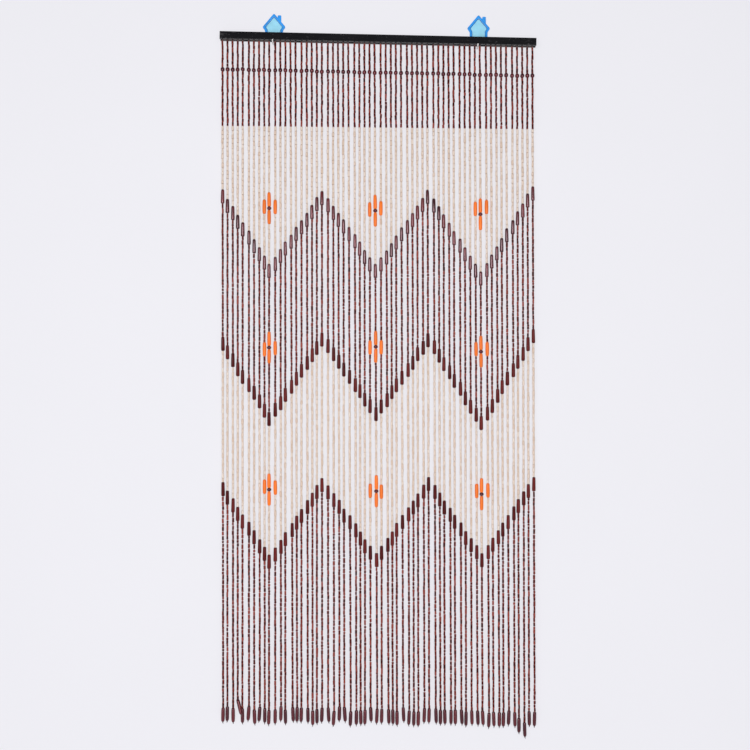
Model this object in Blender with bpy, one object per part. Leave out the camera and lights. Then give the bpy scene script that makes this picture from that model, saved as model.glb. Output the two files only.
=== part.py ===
"""Bead curtain on a painted rail that lies in two adhesive wall hooks.

Metres, +Z up. The wall is the plane y = 0, and the curtain hangs in front of it, towards -Y.
The origin is on the wall, midway along the rail, level with the rail's underside there.
"""

import math

import bmesh
import bpy
import numpy as np

CLEARANCE = 0.0003

RAIL_LENGTH = 0.900
RAIL_HEIGHT = 0.0215
RAIL_DEPTH = 0.020
RAIL_BACK = -0.0063
RAIL_EDGE = 0.0008
RAIL_TILT = math.radians(1.23)

GROOVE_WIDTH = 0.008
GROOVE_DEPTH = 0.003

GROUPS = 12
STRANDS_PER_GROUP = 5
GROUP_PITCH = 0.075
STRAND_PITCH = 0.01445
FIRST_STRAND = -0.443
STRIP_MARGIN = 0.006
STRAND_Y = RAIL_BACK - RAIL_DEPTH / 2

BROWN_RADIUS = 0.0029
CREAM_RADIUS = 0.0033
STRING_RADIUS = 0.0012
ROUND_RADIUS = 0.0054
ROUND_HEIGHT = 0.0125
ROUND_BAND = 0.4
MOTIF_CORE_HEIGHT = 0.0098
LONG_LENGTH = 0.040
LONG_RADIUS = 0.0054
LONG_TOP_RADIUS = 0.0043
LONG_SHOULDER_AT = 0.04
LONG_BELLY_AT = 0.84
TAIL_LENGTH = 0.006

ROUND_ROW_DROP = 0.084
CREAM_DROP_FIRST = 0.246
CREAM_DROP_LAST = 0.237
BOTTOM_DROP = 1.890

ROW_SCATTER = 0.0025
BOTTOM_SCATTER = 0.0075
SWAY = 0.0040
LEAST_SPACING = 0.0119
SPACING_PASSES = 12
SCATTER_SEED = 17

# How far under the rail the long beads of each zigzag line start, at its peaks and valleys.
# strand, upper line, middle line, lower line
ZIGZAG = (
    (1, 0.430, 0.847, 1.258),
    (10, 0.636, 1.054, 1.460),
    (20, 0.425, 0.828, 1.239),
    (30, 0.633, 1.037, 1.452),
    (40, 0.418, 0.823, 1.234),
    (50, 0.648, 1.055, 1.444),
    (60, 0.399, 0.806, 1.225),
)

# The orange motifs: middle strand, drop of its round bead under the rail, and how far the
# middles of the left and right neighbours' beads lie above that round bead.
MOTIFS = (
    (10, 0.478, 0.004, 0.004),
    (30, 0.479, 0.003, 0.007),
    (50, 0.483, 0.015, 0.021),
    (10, 0.874, -0.005, -0.001),
    (30, 0.866, -0.002, -0.001),
    (50, 0.874, 0.007, 0.008),
    (10, 1.276, 0.008, 0.006),
    (30, 1.275, 0.001, -0.001),
    (50, 1.278, 0.009, 0.011),
)

# Strands whose last bead hangs out of line: strand, extra drop, lean towards +X, lean towards -Y.
ODD_ENDS = (
    (4, -0.022, 0.011, 0.009),
    (57, 0.017, 0.0, 0.0),
    (58, 0.029, 0.0, 0.0),
)

# The two hooks: name, middle of the plate, height of the gable's tip, middle of the prong.
HOOKS = (
    ("left", -0.2977, 0.0908, -0.2995),
    ("right", 0.2884, 0.0868, 0.2835),
)

PLATE_THICKNESS = 0.003
PLATE_INSET = 0.0006
FRAME_THICKNESS = 0.002
FRAME_WIDTH = 0.0075
CORNER_RADIUS = 0.005
CORNER_STEPS = 3
CORNER_SHARE = 0.45

GABLE_HEIGHT = 0.0808
EAVES_HALF_WIDTH = 0.0336
EAVES_BELOW_TIP = 0.0401
WALL_HALF_WIDTH = 0.0257
WALL_BELOW_TIP = 0.0495
CHIMNEY_LEFT = 0.0106
CHIMNEY_RIGHT = 0.0209
CHIMNEY_BELOW_TIP = 0.006

PRONG_WIDTH = 0.0038
PRONG_TAB_HEIGHT = 0.020
PRONG_ARM = 0.003
PRONG_BELLY = 0.006
BELLY_START = 0.15 * math.pi
BELLY_END = 0.70 * math.pi
PRONG_LIP = 0.003
PRONG_LIP_RISE = 0.0010
PRONG_STEPS = 6

# name, colour, roughness, metallic
FINISHES = (
    ("rail_black", (0.012, 0.012, 0.015), 0.38, 0.0),
    ("bead_brown", (0.150, 0.030, 0.020), 0.40, 0.0),
    ("bead_cream", (0.680, 0.520, 0.370), 0.50, 0.0),
    ("bead_dark", (0.060, 0.012, 0.014), 0.30, 0.0),
    ("bead_orange", (0.950, 0.180, 0.020), 0.35, 0.0),
    ("hook_plate", (0.340, 0.740, 0.950), 0.35, 0.0),
    ("hook_frame", (0.030, 0.260, 0.800), 0.35, 0.0),
    ("hook_prong", (0.800, 0.780, 0.760), 0.40, 0.0),
)
BROWN, CREAM, DARK, ORANGE = range(4)
BEAD_FINISHES = ("bead_brown", "bead_cream", "bead_dark", "bead_orange")


def clear_scene():
    for old in list(bpy.data.objects):
        bpy.data.objects.remove(old, do_unlink=True)


def make_finishes():
    made = {}
    for name, colour, roughness, metallic in FINISHES:
        finish = bpy.data.materials.new(name)
        finish.use_nodes = True
        shader = finish.node_tree.nodes["Principled BSDF"]
        shader.inputs["Base Color"].default_value = (*colour, 1.0)
        shader.inputs["Roughness"].default_value = roughness
        shader.inputs["Metallic"].default_value = metallic
        made[name] = finish
    return made


def add_object(name, mesh, finishes):
    for finish in finishes:
        mesh.materials.append(finish)
    made = bpy.data.objects.new(name, mesh)
    bpy.context.scene.collection.objects.link(made)
    return made


def closed_mesh(name, points, faces, indices=None):
    """A mesh from points and faces, with every face turned outwards."""
    mesh = bpy.data.meshes.new(name)
    mesh.from_pydata([tuple(p) for p in points], [], faces)
    if indices is not None:
        mesh.polygons.foreach_set("material_index", indices)
    form = bmesh.new()
    form.from_mesh(mesh)
    bmesh.ops.recalc_face_normals(form, faces=form.faces)
    form.to_mesh(mesh)
    form.free()
    return mesh


def prism(name, outline, low, high, place):
    """An outline in the plane, carried from low to high; place(u, v, w) gives the point in space."""
    count = len(outline)
    points = [place(u, v, low) for u, v in outline]
    points += [place(u, v, high) for u, v in outline]
    faces = [tuple(range(count)), tuple(range(count, 2 * count))]
    for i in range(count):
        j = (i + 1) % count
        faces.append((i, j, count + j, count + i))
    return closed_mesh(name, points, faces)


def underside(x):
    """Height of the tilted rail's underside at x."""
    return -x * math.tan(RAIL_TILT)


def rail_section():
    """The batten's section in (y, z), with eased edges and the stringing groove underneath."""
    front = RAIL_BACK - RAIL_DEPTH
    batten = [(front, 0.0), (front, RAIL_HEIGHT), (RAIL_BACK, RAIL_HEIGHT), (RAIL_BACK, 0.0)]
    groove_front = STRAND_Y - GROOVE_WIDTH / 2
    groove_back = STRAND_Y + GROOVE_WIDTH / 2
    return rounded(batten, RAIL_EDGE) + [
        (groove_back, 0.0),
        (groove_back, GROOVE_DEPTH),
        (groove_front, GROOVE_DEPTH),
        (groove_front, 0.0),
    ]


def build_rail(finishes):
    half = RAIL_LENGTH / 2
    mesh = prism("rail", rail_section(), -half, half, lambda y, z, x: (x, y, z))
    rail = add_object("rail", mesh, [finishes["rail_black"]])
    rail.rotation_euler.y = RAIL_TILT


def strand_places():
    """Where the strands leave the rail, and how far each has swayed sideways at its foot."""
    numbers = np.arange(GROUPS * STRANDS_PER_GROUP)
    tops = FIRST_STRAND + (numbers // STRANDS_PER_GROUP) * GROUP_PITCH
    tops = tops + (numbers % STRANDS_PER_GROUP) * STRAND_PITCH
    scatter = np.random.default_rng(SCATTER_SEED)
    feet = tops + scatter.uniform(-SWAY, SWAY, len(tops))
    for _ in range(SPACING_PASSES):
        short = np.maximum(LEAST_SPACING - np.diff(feet), 0) / 2
        feet[:-1] -= short
        feet[1:] += short
    rows = scatter.uniform(-ROW_SCATTER, ROW_SCATTER, (len(tops), 4))
    ends = scatter.uniform(-BOTTOM_SCATTER, BOTTOM_SCATTER, len(tops))
    return tops, feet - tops, rows, ends


def long_bead(top, above, below, colour, colour_below):
    """Rings of a long bead: (drop, radius, colour of the stretch that follows)."""
    return [
        (top, above, colour),
        (top + LONG_SHOULDER_AT * LONG_LENGTH, LONG_TOP_RADIUS, colour),
        (top + LONG_BELLY_AT * LONG_LENGTH, LONG_RADIUS, colour),
        (top + LONG_LENGTH, below, colour_below),
    ]


def round_bead(middle, height, above, below, colour_below):
    """Rings of a round bead with a band at full width, as in long_bead."""
    half = height / 2
    band = half * ROUND_BAND
    return [
        (middle - half, above, DARK),
        (middle - band, ROUND_RADIUS, DARK),
        (middle + band, ROUND_RADIUS, DARK),
        (middle + half, below, colour_below),
    ]


def motif_rings(strand, drops):
    """The orange beads that fall on a strand, in the tube colour of their zigzag's field."""
    rings = []
    tubes = ((CREAM_RADIUS, CREAM), (BROWN_RADIUS, BROWN), (CREAM_RADIUS, CREAM))
    for middle, drop, left_rise, right_rise in MOTIFS:
        if abs(strand - middle) > 1:
            continue
        field = sum(drop > line for line in drops)
        radius, colour = tubes[field]
        if strand == middle:
            core = MOTIF_CORE_HEIGHT
            start = drop - core / 2 - LONG_LENGTH
            rings += long_bead(start, radius, BROWN_RADIUS, ORANGE, DARK)[:-1]
            rings += round_bead(drop, core, BROWN_RADIUS, BROWN_RADIUS, ORANGE)
            rings += long_bead(drop + core / 2, BROWN_RADIUS, radius, ORANGE, colour)[1:]
        else:
            rise = left_rise if strand < middle else right_rise
            start = drop - rise - LONG_LENGTH / 2
            rings += long_bead(start, radius, radius, ORANGE, colour)
    return rings


def strand_rings(strand, row_scatter, end_scatter):
    """Every ring down one strand, from the rail to the knot, as (drop, radius, colour below)."""
    knots = [row[0] for row in ZIGZAG]
    lines = [np.interp(strand, knots, [row[k] for row in ZIGZAG]) for k in (1, 2, 3)]
    lines = [line + shift for line, shift in zip(lines, row_scatter)]
    last = GROUPS * STRANDS_PER_GROUP
    cream = np.interp(strand, (1, last), (CREAM_DROP_FIRST, CREAM_DROP_LAST))
    first = ROUND_ROW_DROP + row_scatter[3] / 2
    bottom = BOTTOM_DROP + end_scatter
    for odd, extra, _, _ in ODD_ENDS:
        if odd == strand:
            bottom = BOTTOM_DROP + extra

    rings = [(0.0, BROWN_RADIUS, BROWN)]
    rings += round_bead(first, ROUND_HEIGHT, BROWN_RADIUS, BROWN_RADIUS, BROWN)
    rings += [(cream, BROWN_RADIUS, CREAM), (cream + 0.001, CREAM_RADIUS, CREAM)]
    rings += long_bead(lines[0], CREAM_RADIUS, BROWN_RADIUS, DARK, BROWN)
    rings += long_bead(lines[1], BROWN_RADIUS, CREAM_RADIUS, DARK, CREAM)
    rings += long_bead(lines[2], CREAM_RADIUS, BROWN_RADIUS, DARK, BROWN)
    rings += motif_rings(strand, lines)
    rings += long_bead(bottom, BROWN_RADIUS, STRING_RADIUS, DARK, BROWN)
    rings += [(bottom + LONG_LENGTH + TAIL_LENGTH, STRING_RADIUS, BROWN)]
    return sorted(rings)


def strand_lean(strand, drops):
    """Sideways and forward shift of a strand whose last bead leans, at each drop."""
    for odd, extra, lean_x, lean_y in ODD_ENDS:
        if odd == strand:
            top = BOTTOM_DROP + extra
            share = np.maximum((drops - top) / LONG_LENGTH, 0.0)
            return share * lean_x, -share * lean_y
    return np.zeros_like(drops), np.zeros_like(drops)


def strand_points(top, sway, strand, rings):
    """Four points for each ring, at its front, right, back and left."""
    drops = np.array([ring[0] for ring in rings])
    radii = np.array([ring[1] for ring in rings])
    lean_x, lean_y = strand_lean(strand, drops)
    x = top + sway * drops / BOTTOM_DROP + lean_x
    y = STRAND_Y + lean_y
    corner_x = x[:, None] + radii[:, None] * np.array((0, 1, 0, -1))
    corner_y = y[:, None] + radii[:, None] * np.array((-1, 0, 1, 0))
    corner_z = np.repeat(underside(top) - drops[:, None], 4, axis=1)
    corner_z[0] = underside(corner_x[0])
    return np.stack((corner_x, corner_y, corner_z), axis=2).reshape(-1, 3)


def group_mesh(name, strands, tops, sways, rows, ends):
    """Five strands that grow out of one strip, which fills the rail's groove."""
    xs = [tops[s - 1] for s in strands]
    edges = [xs[0] - STRIP_MARGIN]
    edges += [(a + b) / 2 for a, b in zip(xs, xs[1:])]
    edges += [xs[-1] + STRIP_MARGIN]
    half = GROOVE_WIDTH / 2 - CLEARANCE
    thickness = GROOVE_DEPTH - CLEARANCE

    points = []
    for x in edges:
        for y, rise in ((-half, 0.0), (half, 0.0), (half, thickness), (-half, thickness)):
            points.append((x, STRAND_Y + y, underside(x) + rise))
    faces = [(0, 1, 2, 3)]
    colours = [BROWN]
    end = 4 * (len(edges) - 1)
    faces.append((end, end + 1, end + 2, end + 3))
    colours.append(BROWN)

    for cell, strand in enumerate(strands):
        near, far = 4 * cell, 4 * cell + 4
        for side in (1, 2, 3):
            after = (side + 1) % 4
            faces.append((near + side, near + after, far + after, far + side))
            colours.append(BROWN)
        rings = strand_rings(strand, rows[strand - 1], ends[strand - 1])
        base = len(points)
        points += list(strand_points(tops[strand - 1], sways[strand - 1], strand, rings))
        front, right, back, left = base, base + 1, base + 2, base + 3
        faces += [
            (near, far, front),
            (far, right, front),
            (far, far + 1, right),
            (far + 1, back, right),
            (far + 1, near + 1, back),
            (near + 1, left, back),
            (near + 1, near, left),
            (near, front, left),
        ]
        colours += [BROWN] * 8
        for k, ring in enumerate(rings[:-1]):
            for side in range(4):
                a = base + 4 * k + side
                b = base + 4 * k + (side + 1) % 4
                faces.append((a, b, b + 4, a + 4))
                colours.append(ring[2])
        tail = base + 4 * (len(rings) - 1)
        faces.append((tail, tail + 1, tail + 2, tail + 3))
        colours.append(BROWN)
    return closed_mesh(name, points, faces, colours)


def build_strands(finishes):
    tops, sways, rows, ends = strand_places()
    beads = [finishes[name] for name in BEAD_FINISHES]
    for group in range(GROUPS):
        name = f"strands_{group + 1:02d}"
        first = group * STRANDS_PER_GROUP + 1
        strands = range(first, first + STRANDS_PER_GROUP)
        mesh = group_mesh(name, strands, tops, sways, rows, ends)
        add_object(name, mesh, beads)


def house_outline(base):
    """Gable, chimney, eaves and walls down to base, as (x, drop from the tip), from the tip on."""
    slope = EAVES_BELOW_TIP / EAVES_HALF_WIDTH
    return [
        (0.0, 0.0),
        (CHIMNEY_LEFT, slope * CHIMNEY_LEFT),
        (CHIMNEY_LEFT, CHIMNEY_BELOW_TIP),
        (CHIMNEY_RIGHT, CHIMNEY_BELOW_TIP),
        (CHIMNEY_RIGHT, slope * CHIMNEY_RIGHT),
        (EAVES_HALF_WIDTH, EAVES_BELOW_TIP),
        (WALL_HALF_WIDTH, WALL_BELOW_TIP),
        (WALL_HALF_WIDTH, base),
        (-WALL_HALF_WIDTH, base),
        (-WALL_HALF_WIDTH, WALL_BELOW_TIP),
        (-EAVES_HALF_WIDTH, EAVES_BELOW_TIP),
    ]


def inset(outline, width):
    """The outline with every side moved inwards by width."""
    points = np.array(outline)
    ahead = np.roll(points, -1, axis=0) - points
    ahead /= np.linalg.norm(ahead, axis=1)[:, None]
    inward = np.stack((-ahead[:, 1], ahead[:, 0]), axis=1)
    behind = np.roll(inward, 1, axis=0)
    reach = 1 + (inward * behind).sum(axis=1)
    return [tuple(p) for p in points + width * (inward + behind) / reach[:, None]]


def rounded(outline, radius):
    """The outline with an arc in place of each corner, as far as its sides allow."""
    points = np.array(outline)
    made = []
    for i, corner in enumerate(points):
        before = points[i - 1] - corner
        after = points[(i + 1) % len(points)] - corner
        reach_before = np.linalg.norm(before)
        reach_after = np.linalg.norm(after)
        cut = min(radius, CORNER_SHARE * min(reach_before, reach_after))
        start = corner + before / reach_before * cut
        finish = corner + after / reach_after * cut
        for step in range(CORNER_STEPS + 1):
            t = step / CORNER_STEPS
            made.append(tuple((1 - t) ** 2 * start + 2 * t * (1 - t) * corner + t * t * finish))
    return made


def on_wall(x, tip):
    """Places an outline of (across, drop) at depth w in front of the wall."""
    return lambda across, drop, w: (x + across, -w, tip - drop)


def build_plate(side, x, tip, finishes):
    outline = rounded(inset(house_outline(GABLE_HEIGHT), PLATE_INSET), CORNER_RADIUS)
    mesh = prism(f"hook_{side}_plate", outline, 0.0, PLATE_THICKNESS, on_wall(x, tip))
    add_object(f"hook_{side}_plate", mesh, [finishes["hook_plate"]])


def build_frame(side, x, tip, finishes):
    """The raised frame: the house's outline, with the field inside it cut out to its foot."""
    low = PLATE_THICKNESS + CLEARANCE
    high = low + FRAME_THICKNESS
    outline = rounded(house_outline(GABLE_HEIGHT), CORNER_RADIUS)
    mesh = prism(f"hook_{side}_frame", outline, low, high, on_wall(x, tip))
    frame = add_object(f"hook_{side}_frame", mesh, [finishes["hook_frame"]])

    house = house_outline(GABLE_HEIGHT + 2 * FRAME_WIDTH)
    field = rounded(inset(house[:1] + house[5:], FRAME_WIDTH), CORNER_RADIUS)
    margin = FRAME_THICKNESS
    cut_mesh = prism(f"hook_{side}_field", field, low - margin, high + margin, on_wall(x, tip))
    cutter = add_object(f"hook_{side}_field", cut_mesh, [])
    cutter.hide_render = True
    cutter.display_type = "WIRE"
    cut = frame.modifiers.new("field", "BOOLEAN")
    cut.operation = "DIFFERENCE"
    cut.solver = "EXACT"
    cut.object = cutter


def prong_section(seat):
    """Tab on the plate, arm with a rounded belly under the rail, and the lip before it."""
    back = -PLATE_THICKNESS - CLEARANCE
    tab = RAIL_BACK + CLEARANCE
    rail_front = RAIL_BACK - RAIL_DEPTH - CLEARANCE
    front = rail_front - PRONG_LIP
    arm_top = seat - CLEARANCE
    section = [
        (back, seat + PRONG_TAB_HEIGHT),
        (tab, seat + PRONG_TAB_HEIGHT),
        (tab, arm_top),
        (rail_front, arm_top),
        (rail_front, seat + PRONG_LIP_RISE),
        (front, seat + PRONG_LIP_RISE),
        (front, arm_top - PRONG_ARM / 2),
    ]
    for step in range(1, PRONG_STEPS + 1):
        t = step / PRONG_STEPS
        y = front + (back - front) * t
        belly = PRONG_BELLY * math.sin(BELLY_START + (BELLY_END - BELLY_START) * t)
        section.append((y, arm_top - PRONG_ARM / 2 - belly))
    return section


def build_prong(side, x, finishes):
    """The prong that carries the rail, level across its own width."""
    half = PRONG_WIDTH / 2
    seat = underside(x + half)
    section = prong_section(seat)
    mesh = prism(f"hook_{side}_prong", section, x - half, x + half, lambda y, z, w: (w, y, z))
    add_object(f"hook_{side}_prong", mesh, [finishes["hook_prong"]])


def build_hooks(finishes):
    for side, x, tip, prong in HOOKS:
        build_plate(side, x, tip, finishes)
        build_frame(side, x, tip, finishes)
        build_prong(side, prong, finishes)


def main():
    clear_scene()
    finishes = make_finishes()
    build_rail(finishes)
    build_strands(finishes)
    build_hooks(finishes)


main()
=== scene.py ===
"""Looks of a bead curtain: tube beads on nylon line, turned and lacquered beads, a painted rail
and two moulded wall hooks. The file has the layout of a Blender add-on and is run as a script.

Metres, +Z up. The wall is y = 0, the curtain hangs towards -Y, and the origin is midway along the
rail, level with its underside there. A drop is a distance down a strand from the rail's underside.
"""

import math
from types import SimpleNamespace

import bpy
import numpy as np
from bpy.props import FloatProperty, FloatVectorProperty, IntProperty, PointerProperty
from bpy.types import Operator, Panel, PropertyGroup
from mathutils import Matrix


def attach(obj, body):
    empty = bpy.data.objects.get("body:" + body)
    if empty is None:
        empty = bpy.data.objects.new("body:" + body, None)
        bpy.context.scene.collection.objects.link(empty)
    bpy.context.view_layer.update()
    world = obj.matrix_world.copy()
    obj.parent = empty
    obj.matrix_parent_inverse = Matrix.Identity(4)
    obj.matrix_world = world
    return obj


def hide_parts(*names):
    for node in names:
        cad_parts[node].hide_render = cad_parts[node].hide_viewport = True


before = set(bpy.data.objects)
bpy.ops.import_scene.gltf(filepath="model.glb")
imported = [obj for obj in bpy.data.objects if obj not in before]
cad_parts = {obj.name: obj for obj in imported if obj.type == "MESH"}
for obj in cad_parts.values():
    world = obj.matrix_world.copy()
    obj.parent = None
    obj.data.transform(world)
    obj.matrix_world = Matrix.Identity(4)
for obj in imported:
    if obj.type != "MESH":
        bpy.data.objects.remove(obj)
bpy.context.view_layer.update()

bl_info = {
    "name": "Bead Curtain Looks",
    "version": (1, 0, 0),
    "blender": (4, 5, 0),
    "location": "View3D > Sidebar > Bead Curtain",
    "description": "Beads, line, paint and moulded hooks over the solids of a bead curtain",
    "category": "Object",
}

# Layout of the solids, which the beads follow.
RAIL_DEPTH = 0.020
RAIL_BACK = -0.0063
RAIL_LENGTH = 0.900
RAIL_TILT = math.radians(1.23)
GROUPS = 12
STRANDS_PER_GROUP = 5
STRANDS = GROUPS * STRANDS_PER_GROUP
GROUP_PITCH = 0.075
STRAND_PITCH = 0.01445
FIRST_STRAND = -0.443
STRAND_Y = RAIL_BACK - RAIL_DEPTH / 2

BROWN_RADIUS = 0.003016
CREAM_RADIUS = 0.0033
ROUND_RADIUS = 0.0059
ROUND_HEIGHT = 0.0125
CORE_RADIUS = 0.0062
MOTIF_CORE_HEIGHT = 0.0098
ORANGE_RADIUS = 0.0053
SIDE_RADIUS = 0.0054
LONG_LENGTH = 0.040
LONG_RADIUS = 0.0054
TAIL_LENGTH = 0.006

ROUND_ROW_DROP = 0.084
CREAM_DROP_FIRST = 0.246
CREAM_DROP_LAST = 0.237
BOTTOM_DROP = 1.890

ROW_SCATTER = 0.0025
BOTTOM_SCATTER = 0.0075
SWAY = 0.0040
LEAST_SPACING = 0.0119
SPACING_PASSES = 12
SCATTER_SEED = 17

# Beads on a strand: the first one's drop, the shortest stretch of line that takes one, and the
# gaps between tube beads where they sit tight and where the line is slack.
FIRST_BEAD_DROP = 0.0024
SHORTEST_RUN = 0.003
TIGHT_GAP = (0.0001, 0.0005)
SLACK_GAP = (0.0011, 0.0023)

# Last beads and what hangs under them: tilt as a slope, how far a knot goes into its bead, where
# a tail leaves its knot as a share of the knot, and how far a tail splays as a slope.
END_TILT = 0.07
KNOT_SEAT = 0.0004
TAIL_SEAT = 0.8
TAIL_SPLAY = 0.5

# The line: rings down a strand, its end inside the last bead, and its runs under the rail.
LINE_STEPS = 7
LINE_BELOW_TOP = 0.002
RUN_STEPS = 12
RUN_RADIUS = 0.0006
RUN_BOW = 0.0024
RUN_RISE = 0.0001
ROOT_KNOT_RISE = 0.0012
LINE_SIDES = 6
KNOT_SIDES = 8

# Edges that bend by more than this, in degrees, look sharp.
TUBE_SHARP = 50.0
TURNED_SHARP = 75.0
LINE_SHARP = 60.0
MOULDED_SHARP = 35.0
BAND_SHARP = 50.0

# How far under the rail the long beads of each zigzag line start, at its peaks and valleys.
# strand, upper line, middle line, lower line
ZIGZAG = (
    (1, 0.430, 0.847, 1.258),
    (10, 0.636, 1.054, 1.460),
    (20, 0.425, 0.828, 1.239),
    (30, 0.633, 1.037, 1.452),
    (40, 0.418, 0.823, 1.234),
    (50, 0.648, 1.055, 1.444),
    (60, 0.399, 0.806, 1.225),
)

# The orange motifs: middle strand, drop of its round bead, and how far the middles of the left
# and right neighbours' beads lie above that round bead.
MOTIFS = (
    (10, 0.478, 0.004, 0.004),
    (30, 0.479, 0.003, 0.007),
    (50, 0.483, 0.015, 0.021),
    (10, 0.874, -0.005, -0.001),
    (30, 0.866, -0.002, -0.001),
    (50, 0.874, 0.007, 0.008),
    (10, 1.276, 0.008, 0.006),
    (30, 1.275, 0.001, -0.001),
    (50, 1.278, 0.009, 0.011),
)

# Strands whose last bead hangs out of line: strand, extra drop, lean towards +X, lean towards -Y.
ODD_ENDS = (
    (4, -0.022, 0.011, 0.009),
    (57, 0.017, 0.0, 0.0),
    (58, 0.029, 0.0, 0.0),
)

# The two hooks: name, middle of the plate, height of the gable's tip, middle of the prong.
HOOKS = (
    ("left", -0.2977, 0.0908, -0.2995),
    ("right", 0.2884, 0.0868, 0.2835),
)
PLATE_THICKNESS = 0.003
PLATE_INSET = 0.0006
FRAME_THICKNESS = 0.002
FRAME_WIDTH = 0.0075
CORNER_RADIUS = 0.005
CORNER_SHARE = 0.45
GABLE_HEIGHT = 0.0808
EAVES_HALF_WIDTH = 0.0336
EAVES_BELOW_TIP = 0.0401
WALL_HALF_WIDTH = 0.0257
WALL_BELOW_TIP = 0.0495
CHIMNEY_LEFT = 0.0106
CHIMNEY_RIGHT = 0.0209
CHIMNEY_BELOW_TIP = 0.006
PRONG_WIDTH = 0.0038
PRONG_TAB_HEIGHT = 0.020
PRONG_ARM = 0.003
PRONG_BELLY = 0.006
BELLY_START = 0.15 * math.pi
BELLY_END = 0.70 * math.pi
PRONG_LIP = 0.003
PRONG_LIP_RISE = 0.0010
PRONG_CLEARANCE = 0.0003

BAND_STEPS = 11
BAND_EDGE = 0.0007
BAND_ROUNDNESS = 0.7
EDGE_SHARE = 0.86
PRONG_STEPS = 10
PRONG_EDGE = 0.0006
PRONG_CORNER = 0.0007
CHIMNEY_CORNER = 0.0030
CHIMNEY_FOOT = 0.0025
ARC_STEPS = 5

# Rings of a plate and of a chimney from the wall outwards: inset, height.
PLATE_RINGS = (
    (PLATE_INSET, 0.0),
    (PLATE_INSET, 0.0024),
    (PLATE_INSET + 0.0006, PLATE_THICKNESS),
    (0.0093, PLATE_THICKNESS),
    (0.0099, PLATE_THICKNESS + 0.0003),
    (0.0115, PLATE_THICKNESS + 0.0004),
)
CHIMNEY_TOP = PLATE_THICKNESS + FRAME_THICKNESS
CHIMNEY_RINGS = (
    (0.0, PLATE_THICKNESS),
    (0.0, CHIMNEY_TOP - 0.0008),
    (0.0004, CHIMNEY_TOP - 0.0002),
    (0.0012, CHIMNEY_TOP),
)

# Fixed colours: tints of what the lacquers mirror, rubbed orange paint, dusty black, and the pale
# black of the rail's scuffs, which also paints a highlight along its low edge.
MAUVE_TINT = (1.0, 0.72, 0.77, 1.0)
RED_TINT = (1.0, 0.50, 0.56, 1.0)
ORANGE_RUBBED = (0.98, 0.36, 0.10)
BLACK_DUSTY = (0.010, 0.010, 0.012)
BLACK_SCUFF_AND_SHEEN = (0.07, 0.068, 0.072)
BLACK = (0.0, 0.0, 0.0)

# Wear on the rail: how far the scuffs reach in from its ends, and how far up from its low edge
# the pale band goes, which is partly rubbed paint and partly a painted highlight.
SCUFFED_END = 0.05
EDGE_RUB_AND_SHEEN = 0.0016

# The studio: half its width, its depth, the backdrop's top, the point that the lights face, and
# the lights as name, place, width, height and the setting that holds the power.
STAGE_HALF_WIDTH = 2.0
STAGE_DEPTH = 4.0
BACKDROP_TOP = 0.6
LIGHTS_FACE = (0.0, 0.0, -0.95)
LIGHTS = (
    ("key_light", (-0.30, -3.2, -0.34), 3.8, 1.3, "key_power"),
    ("fill_light", (-0.20, -3.2, -1.75), 3.4, 1.0, "fill_power"),
)
SENSOR_WIDTH = 36.0

# Profiles of the beads, from the top down: share of the length, share of the radius.
TUBE_PROFILE = ((0.0, 0.60), (0.0, 1.0), (1.0, 1.0), (1.0, 0.60))
LONG_PROFILE = (
    (0.0, 0.50), (0.012, 0.72), (0.045, 0.84), (0.12, 0.89), (0.45, 0.95),
    (0.80, 1.00), (0.92, 0.99), (0.972, 0.86), (0.994, 0.62), (1.0, 0.40),
)
END_PROFILE = (
    (0.0, 0.46), (0.015, 0.70), (0.055, 0.87), (0.16, 0.96), (0.50, 1.00),
    (0.80, 0.98), (0.91, 0.89), (0.97, 0.70), (1.0, 0.42),
)
ROUND_PROFILE = (
    (0.0, 0.34), (0.07, 0.62), (0.22, 0.90), (0.42, 1.00),
    (0.60, 1.00), (0.80, 0.88), (0.94, 0.60), (1.0, 0.34),
)
SPINDLE_PROFILE = (
    (0.0, 0.55), (0.015, 0.74), (0.06, 0.86), (0.25, 0.95),
    (0.62, 1.00), (0.90, 0.98), (0.98, 0.88), (1.0, 0.66),
)
ORANGE_TUBE_PROFILE = (
    (0.0, 0.52), (0.02, 0.76), (0.10, 0.92), (0.50, 1.00),
    (0.90, 0.92), (0.98, 0.76), (1.0, 0.52),
)
KNOT_PROFILE = (
    (0.0, 0.40), (0.15, 0.86), (0.40, 1.00), (0.55, 0.84), (0.75, 0.96), (1.0, 0.40))
TAIL_PROFILE = ((0.0, 1.0), (0.7, 1.1), (1.0, 1.5))

# Extra drop of each ring of a tube bead, which chamfers its ends.
TUBE_CHAMFER = (0.0, 0.0005, -0.0005, 0.0)

BEAD = np.dtype([
    ("top", "3f8"), ("length", "f8"), ("radius", "f8"), ("lean", "2f8"),
    ("taper", "f8"), ("turn", "f8"), ("tone", "f8"),
])


def length_property(name, description, default, low, high):
    """A length in metres."""
    return FloatProperty(
        name=name, description=description, default=default, min=low, max=high,
        subtype="DISTANCE", unit="LENGTH", precision=4,
    )


def share_property(name, description, default, high=1.0):
    """A share from 0 to high."""
    return FloatProperty(
        name=name, description=description, default=default, min=0.0, max=high,
        subtype="FACTOR",
    )


def angle_property(name, description, degrees):
    """A small angle, given in degrees."""
    return FloatProperty(
        name=name, description=description, default=math.radians(degrees), min=-1.0, max=1.0,
        subtype="ANGLE",
    )


def power_property(name, description, default):
    """The power of a light in watts."""
    return FloatProperty(
        name=name, description=description, default=default, min=0.0, max=2000.0,
        unit="POWER",
    )


def colour_property(name, description, default):
    """A colour with three linear values."""
    return FloatVectorProperty(
        name=name, description=description, default=default,
        size=3, min=0.0, max=1.0, subtype="COLOR",
    )


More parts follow.
